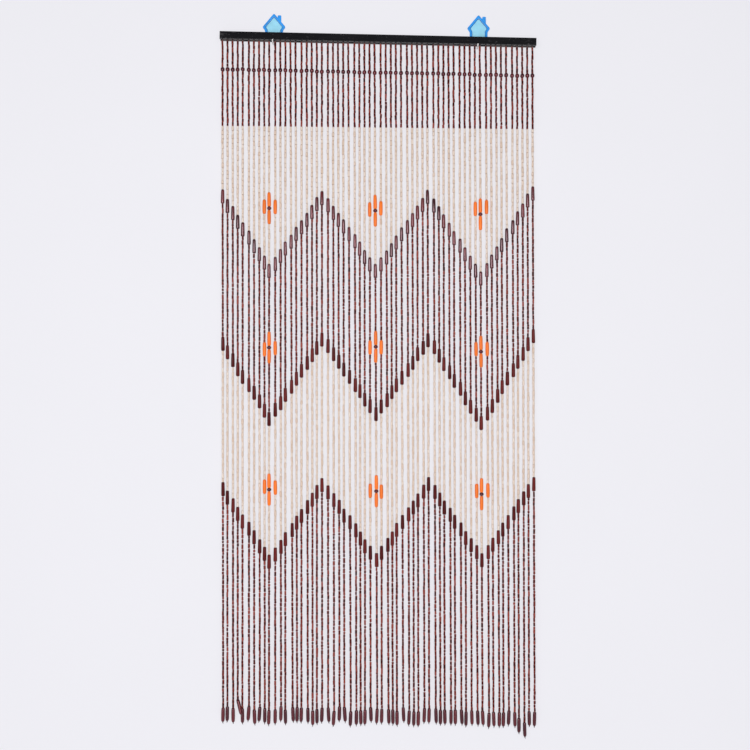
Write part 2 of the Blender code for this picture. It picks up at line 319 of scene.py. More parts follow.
class CurtainSizes(PropertyGroup):
    """Sizes of the beads and of the line that carries them."""

    brown_shortest: length_property(
        "Shortest Brown Tube", "Length of the shortest brown tube bead", 0.0065, 0.002, 0.05)
    brown_longest: length_property(
        "Longest Brown Tube", "Length of the longest brown tube bead", 0.0165, 0.002, 0.05)
    cream_shortest: length_property(
        "Shortest Cream Tube", "Length of the shortest cream tube bead", 0.0095, 0.002, 0.05)
    cream_longest: length_property(
        "Longest Cream Tube", "Length of the longest cream tube bead", 0.0165, 0.002, 0.05)
    radius_spread: share_property(
        "Radius Spread", "How much the radius of a tube bead varies, as a share of it", 0.09, 0.3)
    tube_taper: share_property(
        "Tube Taper", "How much wider one end of a tube bead may be, as a share", 0.08, 0.3)
    tube_sides: IntProperty(
        name="Tube Sides", description="Sides of a tube bead", default=8, min=5, max=12)
    turned_sides: IntProperty(
        name="Turned Sides", description="Sides of a turned long or round bead",
        default=14, min=8, max=24)
    line_radius: length_property(
        "Line Radius", "Radius of the nylon line", 0.0008, 0.0002, 0.0012)
    knot_radius: length_property(
        "Knot Radius", "Radius of the knots at the rail and under the last beads",
        0.0018, 0.001, 0.003)
    seed: IntProperty(
        name="Seed", description="Start of the random draws for the beads", default=5, min=0)


class CurtainColours(PropertyGroup):
    """Colours of the finishes."""

    brown_dark: colour_property(
        "Dark Brown", "Darkest stain of the brown tubes", (0.044, 0.0028, 0.0024))
    brown_mid: colour_property(
        "Red Brown", "Common stain of the brown tubes", (0.118, 0.0075, 0.0060))
    # The lightest stain also paints the lighter cut ends, partly a painted highlight at the
    # joints.
    brown_pale_and_highlight: colour_property(
        "Light Brown", "Lightest stain of the brown tubes", (0.450, 0.096, 0.070))
    cream: colour_property(
        "Cream", "Bare wood of the cream tubes", (0.740, 0.585, 0.475))
    cream_pale: colour_property(
        "Pale Cream", "Palest of the cream tubes", (0.840, 0.740, 0.660))
    # The tan also paints the shade in the gaps between cream tubes, at their ends.
    cream_fleck_and_gap_shade: colour_property(
        "Tan Fleck", "Flecks and joints in the cream tubes", (0.500, 0.340, 0.240))
    # The lacquer colours also darken both ends of each turned bead, a painted shade.
    lacquer: colour_property(
        "Lacquer", "Dark maroon lacquer of the turned beads", (0.032, 0.0025, 0.0050))
    lacquer_worn: colour_property(
        "Rubbed Lacquer", "Lacquer where it is thin", (0.150, 0.020, 0.023))
    satin: colour_property(
        "Satin Lacquer", "Redder satin lacquer of the lower lines", (0.062, 0.0065, 0.0060))
    satin_worn: colour_property(
        "Rubbed Satin", "Satin lacquer where it is thin", (0.150, 0.020, 0.018))
    orange: colour_property(
        "Orange", "Paint of the motif beads", (0.980, 0.200, 0.020))
    line: colour_property(
        "Line", "Nylon line", (0.800, 0.600, 0.570))
    # The knot colour is the line colour darkened: painted shade, mostly under the rail, and dirt.
    knot: colour_property(
        "Knot", "Soiled line of the knots, their tails and the runs under the rail",
        (0.120, 0.075, 0.070))
    rail: colour_property(
        "Rail", "Black paint of the rail", (0.0045, 0.0045, 0.0060))
    hook_frame: colour_property(
        "Hook Frame", "Blue of the hooks' raised frames", (0.030, 0.350, 0.940))
    hook_edge: colour_property(
        "Hook Frame Edge", "Deeper blue where a frame meets its plate", (0.010, 0.085, 0.330))
    hook_plate: colour_property(
        "Hook Plate", "Pale blue of the hooks' plates", (0.370, 0.800, 1.000))
    hook_prong: colour_property(
        "Hook Prong", "White of the hooks' prongs", (0.640, 0.635, 0.620))
    studio: colour_property(
        "Studio", "Pale backdrop, floor and surroundings", (0.860, 0.855, 0.900))


class StudioSettings(PropertyGroup):
    """Camera, lights, backdrop and floor."""

    camera_distance: length_property(
        "Camera Distance", "From the plane of the strands to the camera", 2.60, 0.5, 10.0)
    camera_across: length_property(
        "Camera Across", "How far the camera stands to the right of the rail's middle",
        -0.0302, -2.0, 2.0)
    eye_height: length_property(
        "Eye Height", "Height of the camera, measured from the rail's underside",
        -0.980, -3.0, 2.0)
    lens: FloatProperty(
        name="Lens", description="Focal length, in millimetres, on a sensor 36 mm wide",
        default=44.0, min=10.0, max=300.0, unit="CAMERA")
    pitch: angle_property("Pitch", "How far the camera looks up", 0.754)
    yaw: angle_property("Yaw", "How far the camera looks to the right", 0.417)
    roll: angle_property("Roll", "How far the camera is turned clockwise", 0.141)
    floor_drop: length_property(
        "Floor Drop", "From the rail's underside down to the floor", 2.12, 1.98, 4.0)
    key_power: power_property(
        "Key Power", "Power of the upper soft light beside the camera", 80.0)
    fill_power: power_property(
        "Fill Power", "Power of the lower soft light beside the camera", 24.0)
    own_light: share_property(
        "Backdrop Light", "Share of the backdrop's brightness that comes from behind it", 0.80)
    floor_light: share_property(
        "Floor Light", "Share of the floor's brightness that comes from below it", 0.45)
    surroundings: FloatProperty(
        name="Surroundings", description="Strength of the light from all around",
        default=0.20, min=0.0, max=5.0)


def underside(x):
    """Height of the tilted rail's underside: minus x times the tangent of the tilt."""
    return -x * math.tan(RAIL_TILT)


def motif_beads():
    """The beads of the motifs: on each middle strand an orange bead, a dark core and an orange
    bead, and an orange bead on each neighbour. Rows of strand, start, length, kind."""
    made = []
    for middle, drop, left_rise, right_rise in MOTIFS:
        half = MOTIF_CORE_HEIGHT / 2
        made.append((middle - 1, drop - half - LONG_LENGTH, LONG_LENGTH, "upper"))
        made.append((middle - 1, drop - half, MOTIF_CORE_HEIGHT, "core"))
        made.append((middle - 1, drop + half, LONG_LENGTH, "lower"))
        for strand, rise in ((middle - 2, left_rise), (middle, right_rise)):
            made.append((strand, drop - rise - LONG_LENGTH / 2, LONG_LENGTH, "side"))
    return made


def curtain_plan():
    """Where each strand hangs and what is threaded on it, drawn just as for the solids.

    A strand leaves the rail at its group's place plus its own step. Its foot has swayed by a
    random amount, and feet that come closer than the least spacing are pushed apart in passes.
    """
    number = np.arange(STRANDS)
    tops = FIRST_STRAND + (number // STRANDS_PER_GROUP) * GROUP_PITCH
    tops = tops + (number % STRANDS_PER_GROUP) * STRAND_PITCH
    scatter = np.random.default_rng(SCATTER_SEED)
    feet = tops + scatter.uniform(-SWAY, SWAY, STRANDS)
    for _ in range(SPACING_PASSES):
        short = np.maximum(LEAST_SPACING - np.diff(feet), 0) / 2
        feet[:-1] -= short
        feet[1:] += short
    rows = scatter.uniform(-ROW_SCATTER, ROW_SCATTER, (STRANDS, 4))
    ends = BOTTOM_DROP + scatter.uniform(-BOTTOM_SCATTER, BOTTOM_SCATTER, STRANDS)
    lean = np.zeros((STRANDS, 2))
    for odd, extra, lean_x, lean_y in ODD_ENDS:
        ends[odd - 1] = BOTTOM_DROP + extra
        lean[odd - 1] = (lean_x / LONG_LENGTH, -lean_y / LONG_LENGTH)

    zigzag = np.array(ZIGZAG)
    lines = [np.interp(number + 1, zigzag[:, 0], zigzag[:, k]) for k in (1, 2, 3)]
    blocks = {strand: [] for strand in range(STRANDS)}
    for strand, start, length, _ in sorted(motif_beads()):
        blocks[strand].append((start, start + length))
    return SimpleNamespace(
        tops=tops,
        sway=feet - tops,
        rounds=ROUND_ROW_DROP + rows[:, 3] / 2,
        cream=np.interp(number + 1, (1, STRANDS), (CREAM_DROP_FIRST, CREAM_DROP_LAST)),
        lines=np.stack(lines, axis=1) + rows[:, :3],
        ends=ends,
        lean=lean,
        blocks=blocks,
    )


def strand_point(plan, strand, drop):
    """Points on strands at given drops: across by the sway in proportion to the drop, straight
    down from the rail, and out along the lean below the top of a last bead that hangs askew."""
    below = np.maximum(drop - plan.ends[strand], 0.0)[:, None] * plan.lean[strand]
    x = plan.tops[strand] + plan.sway[strand] * drop / BOTTOM_DROP + below[:, 0]
    y = STRAND_Y + below[:, 1]
    z = underside(plan.tops[strand]) - drop
    return np.stack((x, y, z), axis=1)


def lay_beads(plan, rng, strand, start, length, radius, wander=0.0, tilt=0.0):
    """Beads on their strands. Each is moved aside by up to wander, tilted by up to tilt (a slope)
    about its own middle, turned at random and given a random tone from 0 to 1."""
    strand = np.asarray(strand)
    start = np.asarray(start, dtype=float)
    count = len(strand)
    beads = np.zeros(count, BEAD)
    beads["length"] = length
    beads["radius"] = radius
    slope = rng.uniform(-tilt, tilt, (count, 2))
    path_slope = np.zeros((count, 2))
    path_slope[:, 0] = plan.sway[strand] / BOTTOM_DROP
    beads["lean"] = path_slope + slope
    beads["top"] = strand_point(plan, strand, start)
    beads["top"][:, :2] += rng.uniform(-wander, wander, (count, 2))
    beads["top"][:, :2] -= slope * beads["length"][:, None] / 2
    beads["turn"] = rng.uniform(0.0, 2 * math.pi, count)
    beads["tone"] = rng.uniform(0.0, 1.0, count)
    return beads


def closed_faces(count, rings, sides):
    """Faces of count closed forms, one after the other, each a stack of rings: the quads between
    neighbouring rings, wrapping round, and a cap with all its sides at either end."""
    first = np.arange(count)[:, None, None] * rings * sides
    ring = np.arange(rings - 1)[:, None] * sides
    rim = np.arange(sides)
    after = (rim + 1) % sides
    corners = (ring + rim, ring + sides + rim, ring + sides + after, ring + after)
    quads = first + np.stack(corners, axis=-1).reshape(-1, 4)
    caps = first + np.stack((rim, (rings - 1) * sides + rim[::-1]))
    return quads.reshape(-1, 4), caps.reshape(-1, sides)


def outward(mesh):
    """Turns the faces round if the volume they enclose, a sum of corner products, is negative."""
    mesh.calc_loop_triangles()
    points = np.empty(len(mesh.vertices) * 3)
    mesh.vertices.foreach_get("co", points)
    corners = np.empty(len(mesh.loop_triangles) * 3, dtype=np.int32)
    mesh.loop_triangles.foreach_get("vertices", corners)
    a, b, c = points.reshape(-1, 3)[corners].reshape(-1, 3, 3).transpose(1, 0, 2)
    if np.einsum("ij,ij->i", a, np.cross(b, c)).sum() < 0:
        mesh.flip_normals()


def new_piece(name, points, polygons, finish, sharp, attributes=()):
    """A piece from whole arrays: points, and groups of polygons that each have one corner count.

    Corners are written group after group, so a polygon starts where the last one ended.
    """
    mesh = bpy.data.meshes.new(name)
    points = np.asarray(points, dtype=np.float32).reshape(-1, 3)
    mesh.vertices.add(len(points))
    mesh.vertices.foreach_set("co", points.ravel())
    corners = np.concatenate([group.ravel() for group in polygons])
    counts = np.concatenate([np.full(len(group), group.shape[1]) for group in polygons])
    starts = np.concatenate(((0,), np.cumsum(counts)[:-1]))
    mesh.loops.add(len(corners))
    mesh.loops.foreach_set("vertex_index", corners.astype(np.int32))
    mesh.polygons.add(len(starts))
    mesh.polygons.foreach_set("loop_start", starts.astype(np.int32))
    mesh.update(calc_edges=True)
    mesh.validate()
    for key, values in attributes:
        layer = mesh.attributes.new(key, "FLOAT", "POINT")
        layer.data.foreach_set("value", np.asarray(values, dtype=np.float32).ravel())
    outward(mesh)
    mesh.shade_smooth()
    mesh.set_sharp_from_angle(angle=math.radians(sharp))
    mesh.materials.append(finish)
    piece = bpy.data.objects.new(name, mesh)
    bpy.context.scene.collection.objects.link(piece)
    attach(piece, "root")
    return piece


def turned_beads(
        name, beads, profile, sides, finish, sharp=TURNED_SHARP, extra=0.0):
    """Many beads in one mesh: the profile turned about each bead's own axis.

    A point lies at the bead's top, plus the drop along its leaning axis, plus its radius times
    the profile's share, wider or narrower with the taper, times (cos a, sin a) for angle a. The
    drop is the bead's length times the profile's share, plus the ring's extra drop.
    """
    share, width = np.array(profile).T
    rings = len(profile)
    drop = beads["length"][:, None] * share + extra
    axis = np.concatenate((beads["lean"], -np.ones((len(beads), 1))), axis=1)
    middle = beads["top"][:, None, :] + drop[:, :, None] * axis[:, None, :]
    radius = beads["radius"][:, None] * width * (1 + beads["taper"][:, None] * (share - 0.5))
    angle = beads["turn"][:, None] + np.arange(sides) * 2 * math.pi / sides
    points = np.repeat(middle[:, :, None, :], sides, axis=2)
    points[..., 0] += radius[:, :, None] * np.cos(angle)[:, None, :]
    points[..., 1] += radius[:, :, None] * np.sin(angle)[:, None, :]
    per_point = (len(beads), rings, sides)
    attributes = (
        ("tone", np.broadcast_to(beads["tone"][:, None, None], per_point)),
        ("along", np.broadcast_to(share[None, :, None], per_point)),
    )
    return new_piece(name, points, closed_faces(*per_point), finish, sharp, attributes)


def free_runs(start, stop, blocks):
    """The stretches of a strand between start and stop that no motif bead takes."""
    edges = [start]
    for low, high in blocks:
        if start < low < stop:
            edges += [low, high]
    edges.append(stop)
    runs = zip(edges[0::2], edges[1::2])
    return [(low, high) for low, high in runs if high - low > SHORTEST_RUN]


def cut_run(rng, start, stop, shortest, longest, slack_share):
    """Cuts one run of line into beads: random lengths and gaps, scaled to fill the run."""
    count = max(1, round((stop - start) / ((shortest + longest) / 2)))
    lengths = rng.uniform(shortest, longest, count)
    gaps = rng.uniform(*TIGHT_GAP, count)
    slack = rng.random(count) < slack_share
    gaps = np.where(slack, rng.uniform(*SLACK_GAP, count), gaps)
    lengths *= (stop - start - gaps.sum()) / lengths.sum()
    tops = start + np.cumsum(lengths + gaps) - lengths - gaps / 2
    return tops, lengths


def tube_beads(plan, rng, sizes, starts, stops, cream, slack_share, wander, tilt):
    """The tube beads of one band of the curtain, over all strands."""
    shortest = sizes.cream_shortest if cream else sizes.brown_shortest
    longest = sizes.cream_longest if cream else sizes.brown_longest
    strands, tops, lengths = [], [], []
    for strand in range(STRANDS):
        for low, high in free_runs(starts[strand], stops[strand], plan.blocks[strand]):
            run_tops, run_lengths = cut_run(rng, low, high, shortest, longest, slack_share)
            strands.append(np.full(len(run_tops), strand))
            tops.append(run_tops)
            lengths.append(run_lengths)
    strands, tops, lengths = map(np.concatenate, (strands, tops, lengths))
    spread = 1 + rng.uniform(-sizes.radius_spread, sizes.radius_spread, len(strands))
    radius = (CREAM_RADIUS if cream else BROWN_RADIUS) * spread
    beads = lay_beads(plan, rng, strands, tops, lengths, radius, wander, tilt)
    beads["taper"] = rng.uniform(-sizes.tube_taper, sizes.tube_taper, len(strands))
    return beads


class Finish:
    """A Principled material and short ways to add the nodes that vary it."""

    def __init__(self, name, **numbers):
        self.material = bpy.data.materials.new(name)
        self.material.use_nodes = True
        self.tree = self.material.node_tree
        self.shader = self.tree.nodes["Principled BSDF"]
        for socket, value in numbers.items():
            self.shader.inputs[socket.replace("_", " ")].default_value = value

    def add(self, kind, inputs=None, **settings):
        made = self.tree.nodes.new(kind)
        for key, value in settings.items():
            setattr(made, key, value)
        for socket, value in (inputs or {}).items():
            if isinstance(value, bpy.types.NodeSocket):
                self.tree.links.new(value, made.inputs[socket])
            else:
                made.inputs[socket].default_value = value
        return made

    def link(self, output, socket):
        self.tree.links.new(output, self.shader.inputs[socket])

    def place(self, stretch, turn=(0.0, 0.0, 0.0)):
        """Object coordinates, stretched along X, Y and Z and then turned."""
        where = self.add("ShaderNodeTexCoord").outputs["Object"]
        mapped = self.add(
            "ShaderNodeMapping", {"Vector": where, "Scale": stretch, "Rotation": turn})
        return mapped.outputs["Vector"]

    def grain(self, stretch, detail=3.0, turn=(0.0, 0.0, 0.0)):
        """Noise with about so many waves to a metre along X, Y and Z."""
        made = self.add("ShaderNodeTexNoise", {
            "Vector": self.place(stretch, turn), "Scale": 1.0, "Detail": detail,
            "Roughness": 0.5})
        return made.outputs["Fac"]

    def attribute(self, name):
        return self.add("ShaderNodeAttribute", attribute_name=name).outputs["Fac"]

    def math(self, operation, a, b=0.0):
        return self.add("ShaderNodeMath", {0: a, 1: b}, operation=operation).outputs["Value"]

    def plus(self, a, b):
        return self.math("ADD", a, b)

    def times(self, a, b):
        return self.math("MULTIPLY", a, b)

    def span(self, value, low, high, to_low=0.0, to_high=1.0):
        """The value, with low to high drawn out evenly to to_low to to_high, and held there."""
        made = self.add("ShaderNodeMapRange", {
            "Value": value, "From Min": low, "From Max": high,
            "To Min": to_low, "To Max": to_high})
        return made.outputs["Result"]

    def mix(self, factor, a, b):
        """Colour a where the factor is 0 and colour b where it is 1."""
        made = self.add("ShaderNodeMix", data_type="RGBA")
        for socket, value in zip((0, 6, 7), (factor, a, b)):
            if isinstance(value, bpy.types.NodeSocket):
                self.tree.links.new(value, made.inputs[socket])
            else:
                made.inputs[socket].default_value = value if socket == 0 else (*value, 1.0)
        return made.outputs[2]

    def ends(self, width):
        """1 at both cut ends of a bead and 0 further in than width, a share of its length."""
        off_middle = self.math("SUBTRACT", self.attribute("along"), 0.5)
        inwards = self.math("SUBTRACT", 0.5, self.math("ABSOLUTE", off_middle))
        return self.span(inwards, 0.0, width, 1.0, 0.0)

    def finished(self, colour, rough, height, depth, strength=0.5):
        """The material, with its colour and roughness linked and its surface raised by height."""
        bump = self.add("ShaderNodeBump", {
            "Height": height, "Distance": depth, "Strength": strength})
        self.link(bump.outputs["Normal"], "Normal")
        self.link(colour, "Base Color")
        if rough is not None:
            self.link(rough, "Roughness")
        return self.material


def finish_once(name, make):
    """The material of that name, made the first time that it is asked for."""
    colours = bpy.context.scene.curtain_colours
    return bpy.data.materials.get(name) or make(name, colours)


def shaded(colour, share):
    """The colour with each value multiplied by share."""
    return tuple(share * value for value in colour)


def brown_finish(name, colours):
    """Stained and lacquered tube: the stain runs from dark to red-brown by the bead's tone, with
    fine fibres along it and worn lighter in patches. Towards the cut ends it is lighter too,
    partly stain worn thin there and partly a painted highlight at the joints."""
    made = Finish(name, Specular_IOR_Level=0.12)
    tone = made.attribute("tone")
    fibres = made.grain((1500.0, 1500.0, 70.0), 4.0)
    patches = made.grain((160.0, 160.0, 95.0))
    low = made.mix(made.span(tone, 0.0, 0.62), colours.brown_dark, colours.brown_mid)
    stain = made.mix(made.span(tone, 0.66, 1.0, 0.0, 0.8), low, colours.brown_pale_and_highlight)
    worn = made.mix(made.span(patches, 0.54, 0.70, 0.0, 0.7), stain, colours.brown_pale_and_highlight)
    # Painted highlight: the band towards each cut end turns lighter, partly thin stain and partly
    # a painted highlight at the joints between beads.
    rubbed = made.times(made.ends(0.20), made.span(patches, 0.36, 0.62, 0.1, 1.0))
    ends = made.mix(rubbed, worn, colours.brown_pale_and_highlight)
    fibred = made.mix(made.span(fibres, 0.30, 0.62, 0.65, 0.0), ends, colours.brown_dark)
    rough = made.span(fibres, 0.3, 0.7, 0.40, 0.22)
    return made.finished(fibred, rough, fibres, 0.00012, 0.6)


def cream_finish(name, colours):
    """Bare wood tube: cream to pale by its tone, with tan flecks and fibres, and ends darkened
    towards tan as painted shade in the gaps between beads.
    """
    made = Finish(name, Specular_IOR_Level=0.2)
    fibres = made.grain((1300.0, 1300.0, 60.0), 4.0)
    flecks = made.grain((420.0, 420.0, 190.0), 2.0)
    wood = made.mix(made.attribute("tone"), colours.cream, colours.cream_pale)
    fibred = made.mix(made.span(fibres, 0.32, 0.60, 0.45, 0.0), wood, colours.cream_fleck_and_gap_shade)
    flecked = made.mix(made.span(flecks, 0.60, 0.72, 0.0, 0.6), fibred, colours.cream_fleck_and_gap_shade)
    # Painted shade: each tube darkens towards tan at its ends, for the gaps between beads.
    ends = made.mix(made.times(made.ends(0.07), 0.45), flecked, colours.cream_fleck_and_gap_shade)
    rough = made.span(fibres, 0.3, 0.7, 0.58, 0.40)
    return made.finished(ends, rough, fibres, 0.00010, 0.6)


def lacquered(name, full, thin, level, gloss, tint):
    """Lacquer on turned wood: rubbed thin in long streaks, with painted shade darkening both ends.
    Its roughness falls from gloss to under half of that in the streaks, and rises with the
    bead's tone."""
    made = Finish(name, Specular_IOR_Level=level, Specular_Tint=tint)
    tone = made.attribute("tone")
    streaks = made.grain((620.0, 620.0, 45.0), 4.0)
    rubbed = made.plus(made.times(tone, 0.34), streaks)
    body = made.mix(made.span(rubbed, 0.52, 0.84), full, thin)
    # Painted shade: both ends of each bead darken to the full lacquer colour.
    ends = made.mix(made.ends(0.10), body, full)
    rough = made.span(streaks, 0.3, 0.7, gloss, 0.45 * gloss)
    return made.finished(ends, made.plus(made.times(tone, 0.12), rough), streaks, 0.00012)


def lacquer_finish(name, colours):
    """Dark maroon gloss lacquer of the upper line."""
    return lacquered(name, colours.lacquer, colours.lacquer_worn, 1.0, 0.20, MAUVE_TINT)


def dark_lacquer_finish(name, colours):
    """Nearly black gloss lacquer of the round beads, the motifs' cores and the last beads."""
    full, thin = shaded(colours.lacquer, 0.85), shaded(colours.lacquer_worn, 0.70)
    return lacquered(name, full, thin, 1.0, 0.16, RED_TINT)


def satin_finish(name, colours):
    """Redder satin lacquer of the two lower lines."""
    return lacquered(name, colours.satin, colours.satin_worn, 0.12, 0.34, MAUVE_TINT)


def orange_finish(name, colours):
    """Orange paint: a little deeper or lighter by the bead's tone, brushed round and rubbed."""
    made = Finish(name, Specular_IOR_Level=0.3)
    brushed = made.grain((140.0, 140.0, 1500.0))
    rubbing = made.grain((900.0, 900.0, 60.0))
    paint = made.mix(made.attribute("tone"), shaded(colours.orange, 0.82), colours.orange)
    rubbed = made.mix(made.span(rubbing, 0.60, 0.78, 0.0, 0.35), paint, ORANGE_RUBBED)
    rough = made.span(brushed, 0.3, 0.7, 0.46, 0.32)
    return made.finished(rubbed, rough, brushed, 0.00006)


def twisted_finish(name, colour):
    """Twisted nylon line: painted bands of light and shade that climb round it, and dirt here and
    there. One darker colour serves both the painted shade of the bands and the dirt.
    """
    shaded_and_soiled = shaded(colour, 0.55)
    made = Finish(name, Roughness=0.42, Sheen_Weight=0.2)
    twist = made.add("ShaderNodeTexWave", {
        "Vector": made.place((1.0, 1.0, 1.0)), "Scale": 420.0,
        "Distortion": 1.5, "Detail": 2.0}, bands_direction="DIAGONAL").outputs["Fac"]
    soil = made.grain((60.0, 60.0, 60.0), 2.0)
    ply = made.mix(made.span(twist, 0.0, 1.0, 0.0, 0.5), colour, shaded_and_soiled)
    handled = made.mix(made.span(soil, 0.5, 0.75, 0.0, 0.6), ply, shaded_and_soiled)
    return made.finished(handled, None, twist, 0.0003, 0.6)


def line_finish(name, colours):
    """The clean line down a strand."""
    return twisted_finish(name, colours.line)


def knot_finish(name, colours):
    """The darkened line of the knots, their tails and the runs under the rail: painted shade, and
    dirt.
    """
    return twisted_finish(name, colours.knot)


def rail_finish(name, colours):
    """Black paint brushed along the batten, with dusty streaks and pale scuffs that thicken near
    its ends. Its low edge and underside turn paler, partly rubbed paint and partly a painted
    highlight.
    The scuffs and the pale band are both found along the rail's own tilt."""
    made = Finish(name, Specular_IOR_Level=0.3)
    turn = (0.0, -RAIL_TILT, 0.0)
    brushed = made.grain((26.0, 900.0, 900.0), 4.0, turn)
    dust = made.grain((14.0, 60.0, 60.0), 3.0, turn)
    scuffs = made.grain((120.0, 700.0, 240.0), 3.0, turn)
    along = made.add("ShaderNodeSeparateXYZ", {0: made.place((1.0, 1.0, 1.0), turn)})
    half = RAIL_LENGTH / 2
    near_end = made.span(
        made.math("ABSOLUTE", along.outputs["X"]), half - SCUFFED_END, half)
    # Painted highlight: the band up from the low edge, and the underside, turn paler, partly for
    # rubbed paint.
    low_edge = made.span(along.outputs["Z"], 0.0, EDGE_RUB_AND_SHEEN, 1.0, 0.0)
    rub_and_sheen = made.plus(made.times(near_end, 0.10), made.times(low_edge, 0.12))
    worn = made.span(made.plus(scuffs, rub_and_sheen), 0.62, 0.76)
    paint = made.mix(made.span(dust, 0.40, 0.75, 0.0, 0.5), colours.rail, BLACK_DUSTY)
    scuffs_and_sheen = made.mix(made.times(worn, 0.65), paint, BLACK_SCUFF_AND_SHEEN)
    rough = made.span(brushed, 0.3, 0.7, 0.16, 0.26)
    return made.finished(scuffs_and_sheen, rough, brushed, 0.00018)


def moulded_finish(name, colour, deeper, roughness, edge=None):
    """Moulded plastic: an even colour that a faint flow pattern takes to a deeper share of it, a
    fine orange-peel surface, and the edge colour where the piece has an edge value of 1."""
    made = Finish(name, Specular_IOR_Level=0.5, Coat_Weight=0.25, Coat_Roughness=0.12)
    flow = made.grain((55.0, 55.0, 55.0), 2.0)
    peel = made.grain((900.0, 900.0, 900.0), 2.0)
    body = made.mix(made.span(flow, 0.35, 0.70), colour, shaded(colour, deeper))
    if edge is not None:
        body = made.mix(made.attribute("edge"), body, edge)
    rough = made.span(peel, 0.3, 0.7, roughness, roughness + 0.08)
    return made.finished(body, rough, peel, 0.00005)


def turned_ends(beads, plan, rng, strand, slope):
    """Tilts last beads by up to slope, but no further than half the room to each neighbour."""
    foot = plan.tops + plan.sway
    room = np.minimum(
        np.diff(foot, prepend=foot[0] - GROUP_PITCH), np.diff(foot, append=foot[-1] + GROUP_PITCH))
    spare = np.maximum(room[strand] - 2 * LONG_RADIUS, 0.0) / LONG_LENGTH
    reach = np.minimum(slope, spare)
    beads["lean"][:, 0] += rng.uniform(-1.0, 1.0, len(strand)) * reach
    beads["lean"][:, 1] += rng.uniform(-slope, slope / 3, len(strand))
    beads["lean"] += plan.lean[strand]


def prepared(context, step):
    """The sizes, the plan of the strands, and the random draws of one step."""
    sizes = context.scene.curtain_sizes
    return sizes, curtain_plan(), np.random.default_rng(sizes.seed + step)


class CURTAIN_OT_string_brown_tubes(Operator):
    """Threads the brown tube beads of the upper, middle and lower bands"""

    bl_idname = "curtain.string_brown_tubes"
    bl_label = "String Brown Tubes"

    def execute(self, context):
        sizes, plan, rng = prepared(context, 0)
        finish = finish_once("bead_brown_stain", brown_finish)
        under_rail = np.full(STRANDS, FIRST_BEAD_DROP)
        half = ROUND_HEIGHT / 2
        below_lines = plan.lines + LONG_LENGTH
        # band, start, stop, share of slack gaps, wander, tilt
        bands = (
            ("under_rail", under_rail, plan.rounds - half, 0.03, 0.0005, 0.045),
            ("top", plan.rounds + half, plan.cream, 0.05, 0.0006, 0.055),
            ("middle", below_lines[:, 0], plan.lines[:, 1], 0.10, 0.0004, 0.035),
            ("bottom", below_lines[:, 2], plan.ends, 0.34, 0.0004, 0.030),
        )
        for band, starts, stops, slack_share, wander, tilt in bands:
            beads = tube_beads(
                plan, rng, sizes, starts, stops, False, slack_share, wander, tilt)
            turned_beads(
                f"brown_tubes_{band}", beads, TUBE_PROFILE, sizes.tube_sides, finish,
                TUBE_SHARP, TUBE_CHAMFER)
        return {"FINISHED"}


class CURTAIN_OT_string_cream_tubes(Operator):
    """Threads the cream tube beads of the two cream fields"""

    bl_idname = "curtain.string_cream_tubes"
    bl_label = "String Cream Tubes"

    def execute(self, context):
        sizes, plan, rng = prepared(context, 1)
        finish = finish_once("bead_cream_wood", cream_finish)
        # field, start, stop
        fields = (
            ("upper", plan.cream, plan.lines[:, 0]),
            ("lower", plan.lines[:, 1] + LONG_LENGTH, plan.lines[:, 2]),
        )
        for field, starts, stops in fields:
            beads = tube_beads(
                plan, rng, sizes, starts, stops, True,
                slack_share=0.05, wander=0.0004, tilt=0.030)
            turned_beads(
                f"cream_tubes_{field}", beads, TUBE_PROFILE, sizes.tube_sides, finish,
                TUBE_SHARP, TUBE_CHAMFER)
        return {"FINISHED"}


class CURTAIN_OT_string_round_beads(Operator):
    """Threads the row of dark round beads below the rail"""

    bl_idname = "curtain.string_round_beads"
    bl_label = "String Round Beads"

    def execute(self, context):
        sizes, plan, rng = prepared(context, 2)
        radius = ROUND_RADIUS * (1 + rng.uniform(-0.03, 0.03, STRANDS))
        beads = lay_beads(
            plan, rng, np.arange(STRANDS), plan.rounds - ROUND_HEIGHT / 2, ROUND_HEIGHT, radius,
            wander=0.0003, tilt=0.06)
        finish = finish_once("bead_darkest_lacquer", dark_lacquer_finish)
        turned_beads(
            "round_beads", beads, ROUND_PROFILE, sizes.turned_sides, finish)
        return {"FINISHED"}


class CURTAIN_OT_string_zigzags(Operator):
    """Threads the long dark beads of the three zigzag lines"""

    bl_idname = "curtain.string_zigzags"
    bl_label = "String Zigzag Lines"

    def execute(self, context):
        sizes, plan, rng = prepared(context, 3)
        gloss = finish_once("bead_dark_lacquer", lacquer_finish)
        satin = finish_once("bead_satin_lacquer", satin_finish)
        lines = (("zigzag_upper", gloss), ("zigzag_middle", satin), ("zigzag_lower", satin))
        for line, (name, finish) in enumerate(lines):
            radius = LONG_RADIUS * (1 + rng.uniform(-0.05, 0.03, STRANDS))
            beads = lay_beads(
                plan, rng, np.arange(STRANDS), plan.lines[:, line], LONG_LENGTH, radius,
                wander=0.0003, tilt=0.015)
            turned_beads(
                name, beads, LONG_PROFILE, sizes.turned_sides, finish)
        return {"FINISHED"}


